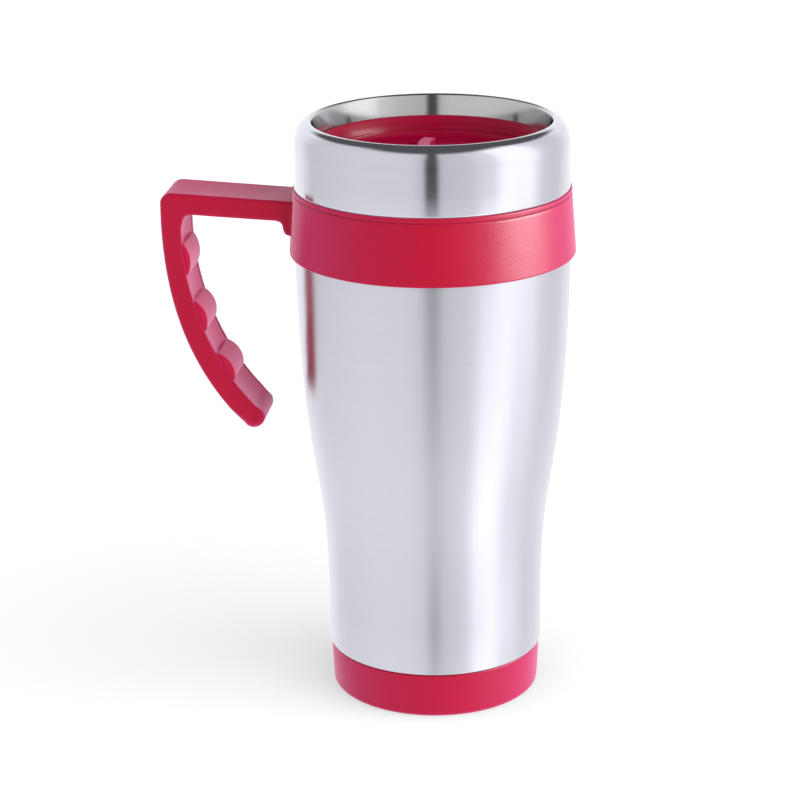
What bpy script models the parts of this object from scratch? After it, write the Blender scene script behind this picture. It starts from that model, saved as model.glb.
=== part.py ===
"""Insulated travel mug with a push-in lid and an open hook handle.

Everything is in metres, +Z up. The origin is on the mug's axis, in the plane it stands on,
and the handle points along -X. Profiles are lists of (radius, height) points, and the
handle's outlines are lists of (distance from the axis, height) points.
"""

from math import asin, cos, degrees, pi, radians, sin, sqrt

import bmesh
import bpy
from mathutils import Vector

# Shared sizes
GAP = 0.0003            # clearance between neighbouring pieces
SHEET = 0.0005          # thickness of the steel sheet
TURNED_STEPS = 36       # facets around every turned piece

# Outer shell: a waisted steel tube with a narrower neck hidden under the band
SHELL_TOP_RADIUS = 0.04125
SHELL_FOOT_RADIUS = 0.03288
SHELL_FOOT_Z = 0.0146
SHELL_WAIST_END_Z = 0.0280
SHELL_WAIST_START_Z = 0.1375
SHELL_UPPER_PULL = (0.03958, 0.06180)
SHELL_LOWER_PULL = (SHELL_FOOT_RADIUS, 0.07570)
SHELL_SHOULDER_Z = 0.1396
NECK_RADIUS = 0.0393
NECK_START_Z = 0.1410
NECK_TOP_Z = 0.1560

# Rim collar: polished steel, rolled in over the lip and tapering down to the lid's seat
COLLAR_RADIUS = 0.0411
COLLAR_FOOT_Z = 0.1592
COLLAR_ROLL_Z = 0.1720
RIM_CREST_RADIUS = 0.03645
RIM_CREST_Z = 0.1790
INNER_ROLL_WIDTH = 0.0007
INNER_ROLL_HEIGHT = 0.0012
INNER_ROLL_TURN = 70
MOUTH_RADIUS = 0.0342
MOUTH_SEAT_Z = 0.1706
COLLAR_TAIL_RADIUS = NECK_RADIUS - SHEET - GAP
COLLAR_TAIL_Z = 0.1500
COLLAR_INNER_END_Z = 0.1605

# Inner liner: the steel cup that holds the drink
LINER_RADIUS = MOUTH_RADIUS - GAP
LINER_MOUTH_Z = 0.1704
LINER_STRAIGHT_Z = 0.1180
LINER_LOWER_RADIUS = 0.0286
LINER_LOWER_Z = 0.0600
LINER_CORNER = 0.0080
LINER_FOOT_Z = 0.0300

# Steel disc that closes the bottom of the shell
DISC_RADIUS = 0.0319
DISC_TOP_Z = 0.0270
DISC_SKIRT_Z = 0.0214
DISC_CORNER = 0.0014

# Handle band: a ring around the neck
BAND_FOOT_Z = 0.1390
BAND_TOP_Z = 0.1589
BAND_FOOT_RADIUS = 0.04285
BAND_WAIST_RADIUS = 0.04125
BAND_WAIST_Z = 0.1556
BEAD_RADIUS = 0.04175
BEAD_FOOT_Z = 0.1574

# Handle: a level arm that turns down into a curved, hooked grip
HANDLE_WIDTH = 0.0200
HANDLE_EDGE = 0.0011
ARM_TOP_ROOT = (0.0385, 0.1551)
ARM_TOP_END = (0.0766, 0.1573)
CORNER_CENTRE = (0.0772, 0.1539)
CORNER_RADIUS = 0.0034
GRIP_OUTER = [(0.0806, 0.1481), (0.0801, 0.1288), (0.0764, 0.1050), (0.0566, 0.0850)]
GRIP_INNER = [(0.0743, 0.1469), (0.0747, 0.1259), (0.0665, 0.1037), (0.0515, 0.0895)]
TIP_CENTRE = (0.0544, 0.0876)
TIP_RADIUS = 0.0035
INNER_CORNER = [(0.0739, 0.1490), (0.0730, 0.1503), (0.0714, 0.1507)]
ARM_UNDERSIDE_ROOT = (0.0457, 0.1493)
ROOT_FOOT = [(0.0445, 0.1489), (0.0439, 0.1480), (0.0437, 0.1464),
             (0.0432, 0.1453), (0.0422, 0.1448), (0.0385, 0.1447)]

# Grip insert: a softer strip with three finger ridges, let into the inside of the grip
INSERT_WIDTH = 0.0160
INSERT_DEPTH = 0.0016
INSERT_PROUD = 0.0002
INSERT_START = 0.012
INSERT_END = 0.95
RIDGE_HEIGHT = 0.0021
RIDGE_CHORD = 0.0096
RIDGE_CENTRES = [0.0110, 0.0284, 0.0459]     # distances along the grip from its upper end
GRIP_STEPS = 40

# Base cap and non-slip pad
CAP_TOP_RADIUS = 0.0325
CAP_TOP_Z = 0.0143
CAP_FOOT_RADIUS = 0.0319
CAP_EDGE = 0.0016
CAP_FOOT_Z = 0.0003
PLUG_RADIUS = 0.0319
PLUG_WALL = 0.0020
PLUG_TOP_Z = 0.0209
CAP_FLOOR_Z = 0.0040
PAD_RADIUS = 0.0270
PAD_THICKNESS = 0.0015

# Lid: a dished cap whose skirt carries a gasket
LID_FLANGE_RADIUS = 0.0343
LID_TOP_Z = 0.1727
LID_FLANGE_FOOT_RADIUS = 0.0339
LID_FLANGE_Z = 0.1708
WELL_MOUTH_RADIUS = 0.0337
WELL_WALL_RADIUS = 0.0319
WELL_CORNER = 0.0022
WELL_FLOOR_Z = 0.1668
LID_FLOOR_UNDERSIDE_Z = 0.1650
SKIRT_RADIUS = 0.0326
SKIRT_INNER_RADIUS = 0.0298
SKIRT_FOOT_Z = 0.1560
GROOVE_RADIUS = 0.0312
GROOVE_TOP_Z = 0.1643
GROOVE_FOOT_Z = 0.1603
SNAP_BEAD_RADIUS = 0.0292
SNAP_BEAD_TOP_Z = 0.1599
GASKET_LIP_RADIUS = 0.0330

# Underplate: a snap-in disc with two rails that guide the slider
UNDERPLATE_RADIUS = 0.0295
UNDERPLATE_FOOT_Z = 0.1602
UNDERPLATE_TOP_Z = 0.1622
RAIL_START_X = -0.0270
RAIL_END_X = 0.0278
RAIL_INNER_Y = 0.0068
RAIL_WIDTH = 0.0020

# Slider: a blade that covers the drink hole, with an arched thumb tab
SLIDER_TRAVEL = 0.0100
BLADE_START_X = -0.0150
BLADE_END_X = 0.0289
BLADE_WIDTH = 0.0130
BLADE_FOOT_Z = 0.1625
BLADE_TOP_Z = 0.1647
STEM_START_X = -0.0034
STEM_END_X = 0.0004
STEM_WIDTH = 0.0078
TAB_FOOT_START_X = -0.0146
TAB_FOOT_END_X = 0.0036
TAB_FOOT_WIDTH = 0.0140
TAB_FOOT_Z = WELL_FLOOR_Z + GAP
TAB_FOOT_THICKNESS = 0.0010
TAB_TOP_Z = 0.1720
TAB_THICKNESS = 0.0037
TAB_HOLLOW_X = -0.0005
TAB_HOLLOW_RADIUS = 0.0170
TAB_HALF_LENGTH = 0.0060
DRINK_HOLE_X = 0.0235
DRINK_HOLE_LENGTH = 0.0080
DRINK_HOLE_WIDTH = 0.0056
VENT_PLACE = (-0.0080, 0.0200)
VENT_RADIUS = 0.0012
SEAL_LENGTH = 0.0092
SEAL_WIDTH = 0.0096
SEAL_THICKNESS = 0.0009

PARTS_NAME = "insulated_travel_mug"


# ---- Points -------------------------------------------------------------------------------

def arc(centre, radii, start_degrees, end_degrees, steps):
    """Points on an ellipse from one angle to another, 0 degrees pointing outwards."""
    points = []
    for step in range(steps + 1):
        angle = radians(start_degrees + (end_degrees - start_degrees) * step / steps)
        points.append((centre[0] + radii[0] * cos(angle), centre[1] + radii[1] * sin(angle)))
    return points


def bezier_point(controls, t):
    """A point on a cubic curve."""
    weights = ((1 - t) ** 3, 3 * (1 - t) ** 2 * t, 3 * (1 - t) * t ** 2, t ** 3)
    return tuple(sum(weight * point[axis] for weight, point in zip(weights, controls)) for axis in (0, 1))


def bezier(controls, steps):
    """Evenly numbered points along a cubic curve."""
    return [bezier_point(controls, step / steps) for step in range(steps + 1)]


def grip_frame(t):
    """The grip's inner curve at t: its point, and the direction towards the fingers."""
    before = Vector(bezier_point(GRIP_INNER, t - 0.001))
    after = Vector(bezier_point(GRIP_INNER, t + 0.001))
    along = (after - before).normalized()
    return Vector(bezier_point(GRIP_INNER, t)), Vector((along.y, -along.x))


def ridge_height(distance):
    """How far the finger ridges stand out at a distance along the grip."""
    radius = (RIDGE_CHORD ** 2 / 4 + RIDGE_HEIGHT ** 2) / (2 * RIDGE_HEIGHT)
    for centre in RIDGE_CENTRES:
        offset = abs(distance - centre)
        if offset < RIDGE_CHORD / 2:
            return sqrt(radius ** 2 - offset ** 2) - radius + RIDGE_HEIGHT
    return 0.0


# ---- Scene and materials ------------------------------------------------------------------

def clear_scene():
    for existing in list(bpy.data.objects):
        bpy.data.objects.remove(existing, do_unlink=True)


def make_collection(name):
    collection = bpy.data.collections.new(name)
    bpy.context.scene.collection.children.link(collection)
    return collection


def make_material(name, colour, roughness, metallic):
    material = bpy.data.materials.new(name)
    material.use_nodes = True
    shader = material.node_tree.nodes["Principled BSDF"]
    shader.inputs["Base Color"].default_value = (*colour, 1.0)
    shader.inputs["Roughness"].default_value = roughness
    shader.inputs["Metallic"].default_value = metallic
    return material


def as_part(item, material):
    """Give a piece its material and put it with the mug's parts."""
    item.data.materials.clear()
    item.data.materials.append(material)
    item.data.shade_smooth()
    item.data.set_sharp_from_angle(angle=radians(35))
    bpy.data.collections[PARTS_NAME].objects.link(item)
    return item


def as_cutter(item):
    """Put a helper shape with the cutters, where it isn't rendered."""
    item.hide_render = True
    item.display_type = "WIRE"
    bpy.data.collections["cutters"].objects.link(item)
    return item


# ---- Shapes -------------------------------------------------------------------------------

def turned(name, profile, closed=False, sheet=0.0):
    """Turn a profile around Z. A sheet thickness makes a shell that grows behind the profile."""
    points = [(radius, 0.0, height) for radius, height in profile]
    edges = [(index, index + 1) for index in range(len(points) - 1)]
    if closed:
        edges.append((len(points) - 1, 0))
    mesh = bpy.data.meshes.new(name)
    mesh.from_pydata(points, edges, [])
    item = bpy.data.objects.new(name, mesh)
    screw = item.modifiers.new("Turn", "SCREW")
    screw.steps = TURNED_STEPS
    screw.render_steps = TURNED_STEPS
    screw.use_merge_vertices = True
    screw.merge_threshold = 0.00001
    if sheet:
        solid = item.modifiers.new("Sheet", "SOLIDIFY")
        solid.thickness = sheet
        solid.offset = -1.0
        solid.use_even_offset = True
    return item


def flat_solid(name, outline, thickness, middle, upright):
    """A flat outline thickened evenly to both sides: in the XZ plane if upright, else in XY."""
    curve = bpy.data.curves.new(name, "CURVE")
    curve.dimensions = "2D"
    curve.fill_mode = "BOTH"
    curve.extrude = thickness / 2
    spline = curve.splines.new("POLY")
    spline.points.add(len(outline) - 1)
    for point, (across, along) in zip(spline.points, outline):
        point.co = (across, along, 0.0, 1.0)
    spline.use_cyclic_u = True
    guide = bpy.data.objects.new(name + "_outline", curve)
    guide.rotation_euler = (pi / 2 if upright else 0.0, 0.0, 0.0)
    guide.location = middle
    bpy.context.scene.collection.objects.link(guide)
    bpy.context.view_layer.update()
    mesh = bpy.data.meshes.new_from_object(guide.evaluated_get(bpy.context.evaluated_depsgraph_get()))
    weld = bmesh.new()
    weld.from_mesh(mesh)
    bmesh.ops.remove_doubles(weld, verts=weld.verts, dist=0.000001)
    bmesh.ops.recalc_face_normals(weld, faces=weld.faces)
    weld.to_mesh(mesh)
    weld.free()
    mesh.name = name
    item = bpy.data.objects.new(name, mesh)
    item.matrix_world = guide.matrix_world
    bpy.data.objects.remove(guide, do_unlink=True)
    return item


def handle_prism(name, outline, width):
    """A solid from a side view given as distances from the axis, on the handle's side."""
    side_view = [(-distance, height) for distance, height in outline]
    return flat_solid(name, side_view, width, (0.0, 0.0, 0.0), upright=True)


def bar(name, low, high, corner=0.0):
    """A box between two corners, with its upright edges rounded by a corner radius."""
    build = bmesh.new()
    bmesh.ops.create_cube(build, size=1.0)
    size = Vector(high) - Vector(low)
    bmesh.ops.scale(build, vec=size, verts=build.verts)
    bmesh.ops.translate(build, vec=(Vector(low) + Vector(high)) / 2, verts=build.verts)
    if corner:
        upright = [edge for edge in build.edges if abs(edge.verts[0].co.z - edge.verts[1].co.z) > size.z / 2]
        bmesh.ops.bevel(build, geom=upright, offset=corner, segments=4, profile=0.5, affect="EDGES")
    mesh = bpy.data.meshes.new(name)
    build.to_mesh(mesh)
    build.free()
    return bpy.data.objects.new(name, mesh)


def round_edges(item, radius, segments=2):
    bevel = item.modifiers.new("Edges", "BEVEL")
    bevel.width = radius
    bevel.segments = segments
    bevel.limit_method = "ANGLE"
    bevel.angle_limit = radians(50)


def combine(item, other, operation):
    """Join another shape to a piece, or cut it away from it."""
    step = item.modifiers.new(operation.title(), "BOOLEAN")
    step.operation = operation
    step.solver = "EXACT"
    step.object = as_cutter(other)


# ---- Body ---------------------------------------------------------------------------------

def make_outer_shell(steel):
    waist = [(SHELL_TOP_RADIUS, SHELL_WAIST_START_Z), SHELL_UPPER_PULL, SHELL_LOWER_PULL,
             (SHELL_FOOT_RADIUS, SHELL_WAIST_END_Z)]
    profile = [(NECK_RADIUS, NECK_TOP_Z), (NECK_RADIUS, NECK_START_Z), (SHELL_TOP_RADIUS, SHELL_SHOULDER_Z)]
    profile += bezier(waist, 9)
    profile.append((SHELL_FOOT_RADIUS, SHELL_FOOT_Z))
    return as_part(turned("outer_shell", profile, sheet=SHEET), steel)


def make_rim_collar(polished_steel):
    roll_radius = COLLAR_RADIUS - 0.0001
    profile = [(MOUTH_RADIUS, COLLAR_INNER_END_Z), (MOUTH_RADIUS, MOUTH_SEAT_Z)]
    inner_centre = (RIM_CREST_RADIUS, RIM_CREST_Z - INNER_ROLL_HEIGHT)
    profile += arc(inner_centre, (INNER_ROLL_WIDTH, INNER_ROLL_HEIGHT), 90 + INNER_ROLL_TURN, 90, 3)
    outer_roll = (roll_radius - RIM_CREST_RADIUS, RIM_CREST_Z - COLLAR_ROLL_Z)
    profile += arc((RIM_CREST_RADIUS, COLLAR_ROLL_Z), outer_roll, 90, 0, 5)[1:]
    profile += [(COLLAR_RADIUS, COLLAR_FOOT_Z), (COLLAR_TAIL_RADIUS, COLLAR_FOOT_Z)]
    profile.append((COLLAR_TAIL_RADIUS, COLLAR_TAIL_Z))
    return as_part(turned("rim_collar", profile, sheet=SHEET), polished_steel)


def make_inner_liner(steel):
    profile = [(LINER_RADIUS, LINER_MOUTH_Z), (LINER_RADIUS, LINER_STRAIGHT_Z)]
    profile.append((LINER_LOWER_RADIUS, LINER_LOWER_Z))
    corner_centre = (LINER_LOWER_RADIUS - LINER_CORNER, LINER_FOOT_Z + LINER_CORNER)
    profile += arc(corner_centre, (LINER_CORNER, LINER_CORNER), 0, -90, 3)
    profile.append((0.0, LINER_FOOT_Z))
    return as_part(turned("inner_liner", profile, sheet=SHEET), steel)


def make_shell_bottom(steel):
    profile = [(0.0, DISC_TOP_Z), (DISC_RADIUS - DISC_CORNER, DISC_TOP_Z)]
    profile += [(DISC_RADIUS, DISC_TOP_Z - DISC_CORNER), (DISC_RADIUS, DISC_SKIRT_Z)]
    return as_part(turned("shell_bottom", profile, sheet=SHEET), steel)


def make_base_cap(plastic):
    plug_bore = PLUG_RADIUS - PLUG_WALL
    profile = [(0.0, CAP_FLOOR_Z), (plug_bore, CAP_FLOOR_Z), (plug_bore, PLUG_TOP_Z)]
    profile += [(PLUG_RADIUS, PLUG_TOP_Z), (PLUG_RADIUS, CAP_TOP_Z), (CAP_TOP_RADIUS, CAP_TOP_Z)]
    edge_centre = (CAP_FOOT_RADIUS - CAP_EDGE, CAP_FOOT_Z + CAP_EDGE)
    profile += arc(edge_centre, (CAP_EDGE, CAP_EDGE), 0, -90, 3)
    recess_radius = PAD_RADIUS + GAP
    recess_top = PAD_THICKNESS + GAP
    profile += [(recess_radius, CAP_FOOT_Z), (recess_radius, recess_top), (0.0, recess_top)]
    return as_part(turned("base_cap", profile), plastic)


def make_non_slip_pad(rubber):
    profile = [(0.0, PAD_THICKNESS), (PAD_RADIUS, PAD_THICKNESS), (PAD_RADIUS, 0.0), (0.0, 0.0)]
    return as_part(turned("non_slip_pad", profile), rubber)


# ---- Handle -------------------------------------------------------------------------------

def handle_outline():
    """The handle's side view, clockwise from the upper root of the arm."""
    outline = [ARM_TOP_ROOT, ARM_TOP_END]
    outline += arc(CORNER_CENTRE, (CORNER_RADIUS, CORNER_RADIUS), 90, 0, 4)
    outline += bezier(GRIP_OUTER, 12)
    outline += arc(TIP_CENTRE, (TIP_RADIUS, TIP_RADIUS), -55, -205, 6)
    outline += bezier(GRIP_INNER[::-1], 12)
    outline += INNER_CORNER
    outline.append(ARM_UNDERSIDE_ROOT)
    return outline + ROOT_FOOT


def grip_strip(start, end, depth, proud, ridged):
    """A strip along the inside of the grip, from a depth in it to a height above it."""
    front = []
    back = []
    travelled = 0.0
    previous = None
    for step in range(GRIP_STEPS + 1):
        point, inward = grip_frame(step / GRIP_STEPS)
        if previous is not None:
            travelled += (point - previous).length
        previous = point
        if start <= step / GRIP_STEPS <= end:
            height = proud + (ridge_height(travelled) if ridged else 0.0)
            front.append(tuple(point + inward * height))
            if step % 4 == 0 or not back:
                back.append(tuple(point - inward * depth))
            last_back = tuple(point - inward * depth)
    if back[-1] != last_back:
        back.append(last_back)
    return front + back[::-1]


def make_handle_band(plastic):
    profile = [(0.0, BAND_TOP_Z), (BEAD_RADIUS - 0.0004, BAND_TOP_Z), (BEAD_RADIUS, BAND_TOP_Z - 0.0004)]
    profile += [(BEAD_RADIUS, BEAD_FOOT_Z), (BAND_WAIST_RADIUS - 0.0001, BEAD_FOOT_Z - 0.0004)]
    profile += [(BAND_WAIST_RADIUS, BAND_WAIST_Z), (BAND_FOOT_RADIUS, BAND_FOOT_Z + 0.0004)]
    profile += [(BAND_FOOT_RADIUS - 0.0004, BAND_FOOT_Z), (0.0, BAND_FOOT_Z)]
    band = turned("handle_band", profile)
    arm = handle_prism("handle_arm", handle_outline(), HANDLE_WIDTH)
    round_edges(arm, HANDLE_EDGE)
    combine(band, arm, "UNION")
    beyond = 0.0050
    bore = [(0.0, BAND_TOP_Z + beyond), (NECK_RADIUS + GAP, BAND_TOP_Z + beyond)]
    bore += [(NECK_RADIUS + GAP, NECK_START_Z + GAP), (SHELL_TOP_RADIUS + GAP, SHELL_SHOULDER_Z + GAP)]
    bore += [(SHELL_TOP_RADIUS + GAP, BAND_FOOT_Z - beyond), (0.0, BAND_FOOT_Z - beyond)]
    combine(band, turned("band_bore", bore), "DIFFERENCE")
    channel = grip_strip(0.0, 0.98, INSERT_DEPTH + GAP, beyond, ridged=False)
    combine(band, handle_prism("grip_channel", channel, INSERT_WIDTH + 2 * GAP), "DIFFERENCE")
    return as_part(band, plastic)


def make_grip_insert(soft_plastic):
    outline = grip_strip(INSERT_START, INSERT_END, INSERT_DEPTH, INSERT_PROUD, ridged=True)
    return as_part(handle_prism("grip_insert", outline, INSERT_WIDTH), soft_plastic)


# ---- Lid ----------------------------------------------------------------------------------

def drink_hole_cutter(name):
    half = DRINK_HOLE_LENGTH / 2
    low = (DRINK_HOLE_X - half, -DRINK_HOLE_WIDTH / 2, UNDERPLATE_FOOT_Z - 0.002)
    high = (DRINK_HOLE_X + half, DRINK_HOLE_WIDTH / 2, WELL_FLOOR_Z + 0.002)
    return bar(name, low, high, corner=0.0024)


def vent_cutter(name):
    build = bmesh.new()
    bmesh.ops.create_cone(build, cap_ends=True, segments=12, depth=0.02,
                          radius1=VENT_RADIUS, radius2=VENT_RADIUS)
    middle = (*VENT_PLACE, LID_FLOOR_UNDERSIDE_Z)
    bmesh.ops.translate(build, vec=middle, verts=build.verts)
    mesh = bpy.data.meshes.new(name)
    build.to_mesh(mesh)
    build.free()
    return bpy.data.objects.new(name, mesh)


def make_lid_top(plastic):
    profile = [(0.0, WELL_FLOOR_Z)]
    corner_centre = (WELL_WALL_RADIUS - WELL_CORNER, WELL_FLOOR_Z + WELL_CORNER)
    profile += arc(corner_centre, (WELL_CORNER, WELL_CORNER), -90, 0, 3)
    profile += [(WELL_MOUTH_RADIUS, LID_TOP_Z), (LID_FLANGE_RADIUS - 0.0003, LID_TOP_Z)]
    profile += [(LID_FLANGE_RADIUS, LID_TOP_Z - 0.0003), (LID_FLANGE_FOOT_RADIUS, LID_FLANGE_Z)]
    profile += [(SKIRT_RADIUS, LID_FLANGE_Z), (SKIRT_RADIUS, GROOVE_TOP_Z), (GROOVE_RADIUS, GROOVE_TOP_Z)]
    profile += [(GROOVE_RADIUS, GROOVE_FOOT_Z), (SKIRT_RADIUS, GROOVE_FOOT_Z)]
    profile += [(SKIRT_RADIUS, SKIRT_FOOT_Z + 0.001)]
    profile += [(SKIRT_RADIUS - 0.001, SKIRT_FOOT_Z), (SKIRT_INNER_RADIUS, SKIRT_FOOT_Z)]
    profile += [(SNAP_BEAD_RADIUS, SNAP_BEAD_TOP_Z - 0.0014), (SNAP_BEAD_RADIUS, SNAP_BEAD_TOP_Z - 0.0004)]
    profile += [(SKIRT_INNER_RADIUS, SNAP_BEAD_TOP_Z), (SKIRT_INNER_RADIUS, LID_FLOOR_UNDERSIDE_Z)]
    profile.append((0.0, LID_FLOOR_UNDERSIDE_Z))
    lid = turned("lid_top", profile)
    combine(lid, drink_hole_cutter("drink_hole"), "DIFFERENCE")
    combine(lid, vent_cutter("vent"), "DIFFERENCE")
    slot_low = (STEM_START_X - SLIDER_TRAVEL - GAP, -STEM_WIDTH / 2 - GAP, LID_FLOOR_UNDERSIDE_Z - 0.002)
    slot_high = (STEM_END_X + GAP, STEM_WIDTH / 2 + GAP, WELL_FLOOR_Z + 0.002)
    combine(lid, bar("stem_slot", slot_low, slot_high), "DIFFERENCE")
    return as_part(lid, plastic)


def make_lid_gasket(silicone):
    """A flat ring in the skirt's groove, with two lips that wipe the liner."""
    root = SKIRT_RADIUS - 0.0002
    inner = GROOVE_RADIUS + GAP
    top = GROOVE_TOP_Z - GAP
    foot = GROOVE_FOOT_Z + GAP
    lip = 0.0006
    profile = [(inner, top), (root, top)]
    profile += [(GASKET_LIP_RADIUS, top - 0.0003), (GASKET_LIP_RADIUS, top - 0.0003 - lip)]
    profile += [(root, top - 0.0013), (root, foot + 0.0013), (GASKET_LIP_RADIUS, foot + 0.0003 + lip)]
    profile += [(GASKET_LIP_RADIUS, foot + 0.0003), (root, foot), (inner, foot)]
    return as_part(turned("lid_gasket", profile, closed=True), silicone)


def make_lid_underplate(plastic):
    profile = [(0.0, UNDERPLATE_TOP_Z), (UNDERPLATE_RADIUS, UNDERPLATE_TOP_Z)]
    profile += [(UNDERPLATE_RADIUS, UNDERPLATE_FOOT_Z), (0.0, UNDERPLATE_FOOT_Z)]
    plate = turned("lid_underplate", profile)
    for side in (-1, 1):
        edges = sorted((side * RAIL_INNER_Y, side * (RAIL_INNER_Y + RAIL_WIDTH)))
        low = (RAIL_START_X, edges[0], UNDERPLATE_TOP_Z - 0.001)
        high = (RAIL_END_X, edges[1], BLADE_TOP_Z)
        combine(plate, bar("slider_rail", low, high), "UNION")
    combine(plate, drink_hole_cutter("pour_hole"), "DIFFERENCE")
    combine(plate, vent_cutter("lower_vent"), "DIFFERENCE")
    return as_part(plate, plastic)


# ---- Slider -------------------------------------------------------------------------------

def thumb_tab_outline():
    """The tab's plan: an upright plate arched towards the handle, hollow on the thumb's side."""
    centre = (TAB_HOLLOW_X + TAB_HOLLOW_RADIUS, 0.0)
    spread = degrees(asin(TAB_HALF_LENGTH / TAB_HOLLOW_RADIUS))
    back = TAB_HOLLOW_RADIUS + TAB_THICKNESS
    hollow = arc(centre, (TAB_HOLLOW_RADIUS, TAB_HOLLOW_RADIUS), 180 - spread, 180 + spread, 8)
    return hollow + arc(centre, (back, back), 180 + spread * 0.86, 180 - spread * 0.86, 8)


def seal_bar(name, clearance, foot_z, top_z):
    """The seal's shape under the drink hole, or its pocket when it is given a clearance."""
    half_length = SEAL_LENGTH / 2 + clearance
    half_width = SEAL_WIDTH / 2 + clearance
    low = (DRINK_HOLE_X - half_length, -half_width, foot_z)
    high = (DRINK_HOLE_X + half_length, half_width, top_z)
    return bar(name, low, high, corner=0.0020 + clearance)


def make_slider(plastic):
    low = (BLADE_START_X, -BLADE_WIDTH / 2, BLADE_FOOT_Z)
    slider = bar("slider", low, (BLADE_END_X, BLADE_WIDTH / 2, BLADE_TOP_Z), corner=0.0020)
    stem_low = (STEM_START_X, -STEM_WIDTH / 2, BLADE_TOP_Z - 0.001)
    stem_high = (STEM_END_X, STEM_WIDTH / 2, TAB_FOOT_Z + 0.0005)
    combine(slider, bar("slider_stem", stem_low, stem_high), "UNION")
    foot_low = (TAB_FOOT_START_X, -TAB_FOOT_WIDTH / 2, TAB_FOOT_Z)
    foot_high = (TAB_FOOT_END_X, TAB_FOOT_WIDTH / 2, TAB_FOOT_Z + TAB_FOOT_THICKNESS)
    combine(slider, bar("tab_foot", foot_low, foot_high, corner=0.0020), "UNION")
    tab_foot = TAB_FOOT_Z + TAB_FOOT_THICKNESS / 2
    middle = (0.0, 0.0, (tab_foot + TAB_TOP_Z) / 2)
    tab = flat_solid("thumb_tab", thumb_tab_outline(), TAB_TOP_Z - tab_foot, middle, upright=False)
    combine(slider, tab, "UNION")
    pocket_foot = BLADE_TOP_Z - SEAL_THICKNESS - GAP
    combine(slider, seal_bar("seal_pocket", GAP, pocket_foot, BLADE_TOP_Z + 0.001), "DIFFERENCE")
    return as_part(slider, plastic)


def make_slider_seal(silicone):
    return as_part(seal_bar("slider_seal", 0.0, BLADE_TOP_Z - SEAL_THICKNESS, BLADE_TOP_Z), silicone)


def make_mug():
    clear_scene()
    make_collection(PARTS_NAME)
    make_collection("cutters")
    brushed_steel = make_material("brushed_steel", (0.66, 0.66, 0.67), 0.30, 1.0)
    polished_steel = make_material("polished_steel", (0.72, 0.72, 0.73), 0.12, 1.0)
    red_plastic = make_material("red_plastic", (0.58, 0.012, 0.035), 0.42, 0.0)
    soft_red = make_material("soft_red", (0.52, 0.014, 0.040), 0.60, 0.0)
    silicone = make_material("silicone", (0.70, 0.70, 0.68), 0.60, 0.0)
    black_rubber = make_material("black_rubber", (0.02, 0.02, 0.02), 0.80, 0.0)
    make_outer_shell(brushed_steel)
    make_rim_collar(polished_steel)
    make_inner_liner(brushed_steel)
    make_shell_bottom(brushed_steel)
    make_base_cap(red_plastic)
    make_non_slip_pad(black_rubber)
    make_handle_band(red_plastic)
    make_grip_insert(soft_red)
    make_lid_top(red_plastic)
    make_lid_gasket(silicone)
    make_lid_underplate(red_plastic)
    make_slider(red_plastic)
    make_slider_seal(silicone)


make_mug()
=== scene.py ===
"""Looks of the insulated travel mug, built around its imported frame.

Everything is in metres, +Z up, in the frame of the CAD part: the mug's axis is Z and the
handle points along -X. Turned pieces are (radius, height, rounding) profiles.
"""

from math import asin, cos, degrees, pi, radians, sin, sqrt

import bmesh
import bpy
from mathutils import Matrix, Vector


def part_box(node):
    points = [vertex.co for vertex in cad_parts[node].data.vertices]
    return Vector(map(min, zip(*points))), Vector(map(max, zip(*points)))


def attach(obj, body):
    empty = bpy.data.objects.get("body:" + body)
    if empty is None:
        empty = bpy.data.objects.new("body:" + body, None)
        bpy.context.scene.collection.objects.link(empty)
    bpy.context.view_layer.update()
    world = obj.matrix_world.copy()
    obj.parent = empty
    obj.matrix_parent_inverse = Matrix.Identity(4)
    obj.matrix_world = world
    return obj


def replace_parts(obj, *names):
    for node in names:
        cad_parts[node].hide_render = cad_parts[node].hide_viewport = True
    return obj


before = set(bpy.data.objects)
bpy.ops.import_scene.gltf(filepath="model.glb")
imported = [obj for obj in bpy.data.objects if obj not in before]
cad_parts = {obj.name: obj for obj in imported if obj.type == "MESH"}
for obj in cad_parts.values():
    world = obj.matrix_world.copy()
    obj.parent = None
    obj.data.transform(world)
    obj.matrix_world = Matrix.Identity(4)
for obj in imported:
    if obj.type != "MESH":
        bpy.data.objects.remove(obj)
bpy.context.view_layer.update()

# ---- Sizes ----------------------------------------------------------------------------------

STEPS = 192                 # facets round a turned piece
SHEET = 0.0005              # steel sheet
SEAM = 0.0001               # the hairline between two pieces that touch

# The lowest and highest corners of the CAD pieces' boxes
SHELL_FOOT, SHELL_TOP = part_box("outer_shell")
COLLAR_FOOT, COLLAR_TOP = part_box("rim_collar")
LINER_FOOT, LINER_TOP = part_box("inner_liner")
BAND_TOP_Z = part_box("handle_band")[1].z
CAP_FOOT, CAP_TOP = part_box("base_cap")
PAD_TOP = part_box("non_slip_pad")[1]
LID_FOOT, LID_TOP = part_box("lid_top")
PLATE_FOOT, PLATE_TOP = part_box("lid_underplate")
GASKET_FOOT, GASKET_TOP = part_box("lid_gasket")
SLIDER_FOOT, SLIDER_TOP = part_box("slider")

# The camera: its place in metres, its tilt in degrees and its lens in millimetres. The two
# directions are level: from the mug towards the camera, and to the camera's right.
CAMERA_PLACE = (0.0751, -0.7388, 0.3379)
CAMERA_TILT = (71.653, 0.601, 6.400)
CAMERA_LENS = 115.36
TOWARDS_CAMERA = Vector((0.1012, -0.9949, 0.0))
CAMERA_RIGHT = Vector((0.9949, 0.1012, 0.0))


# ---- Points ---------------------------------------------------------------------------------

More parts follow.
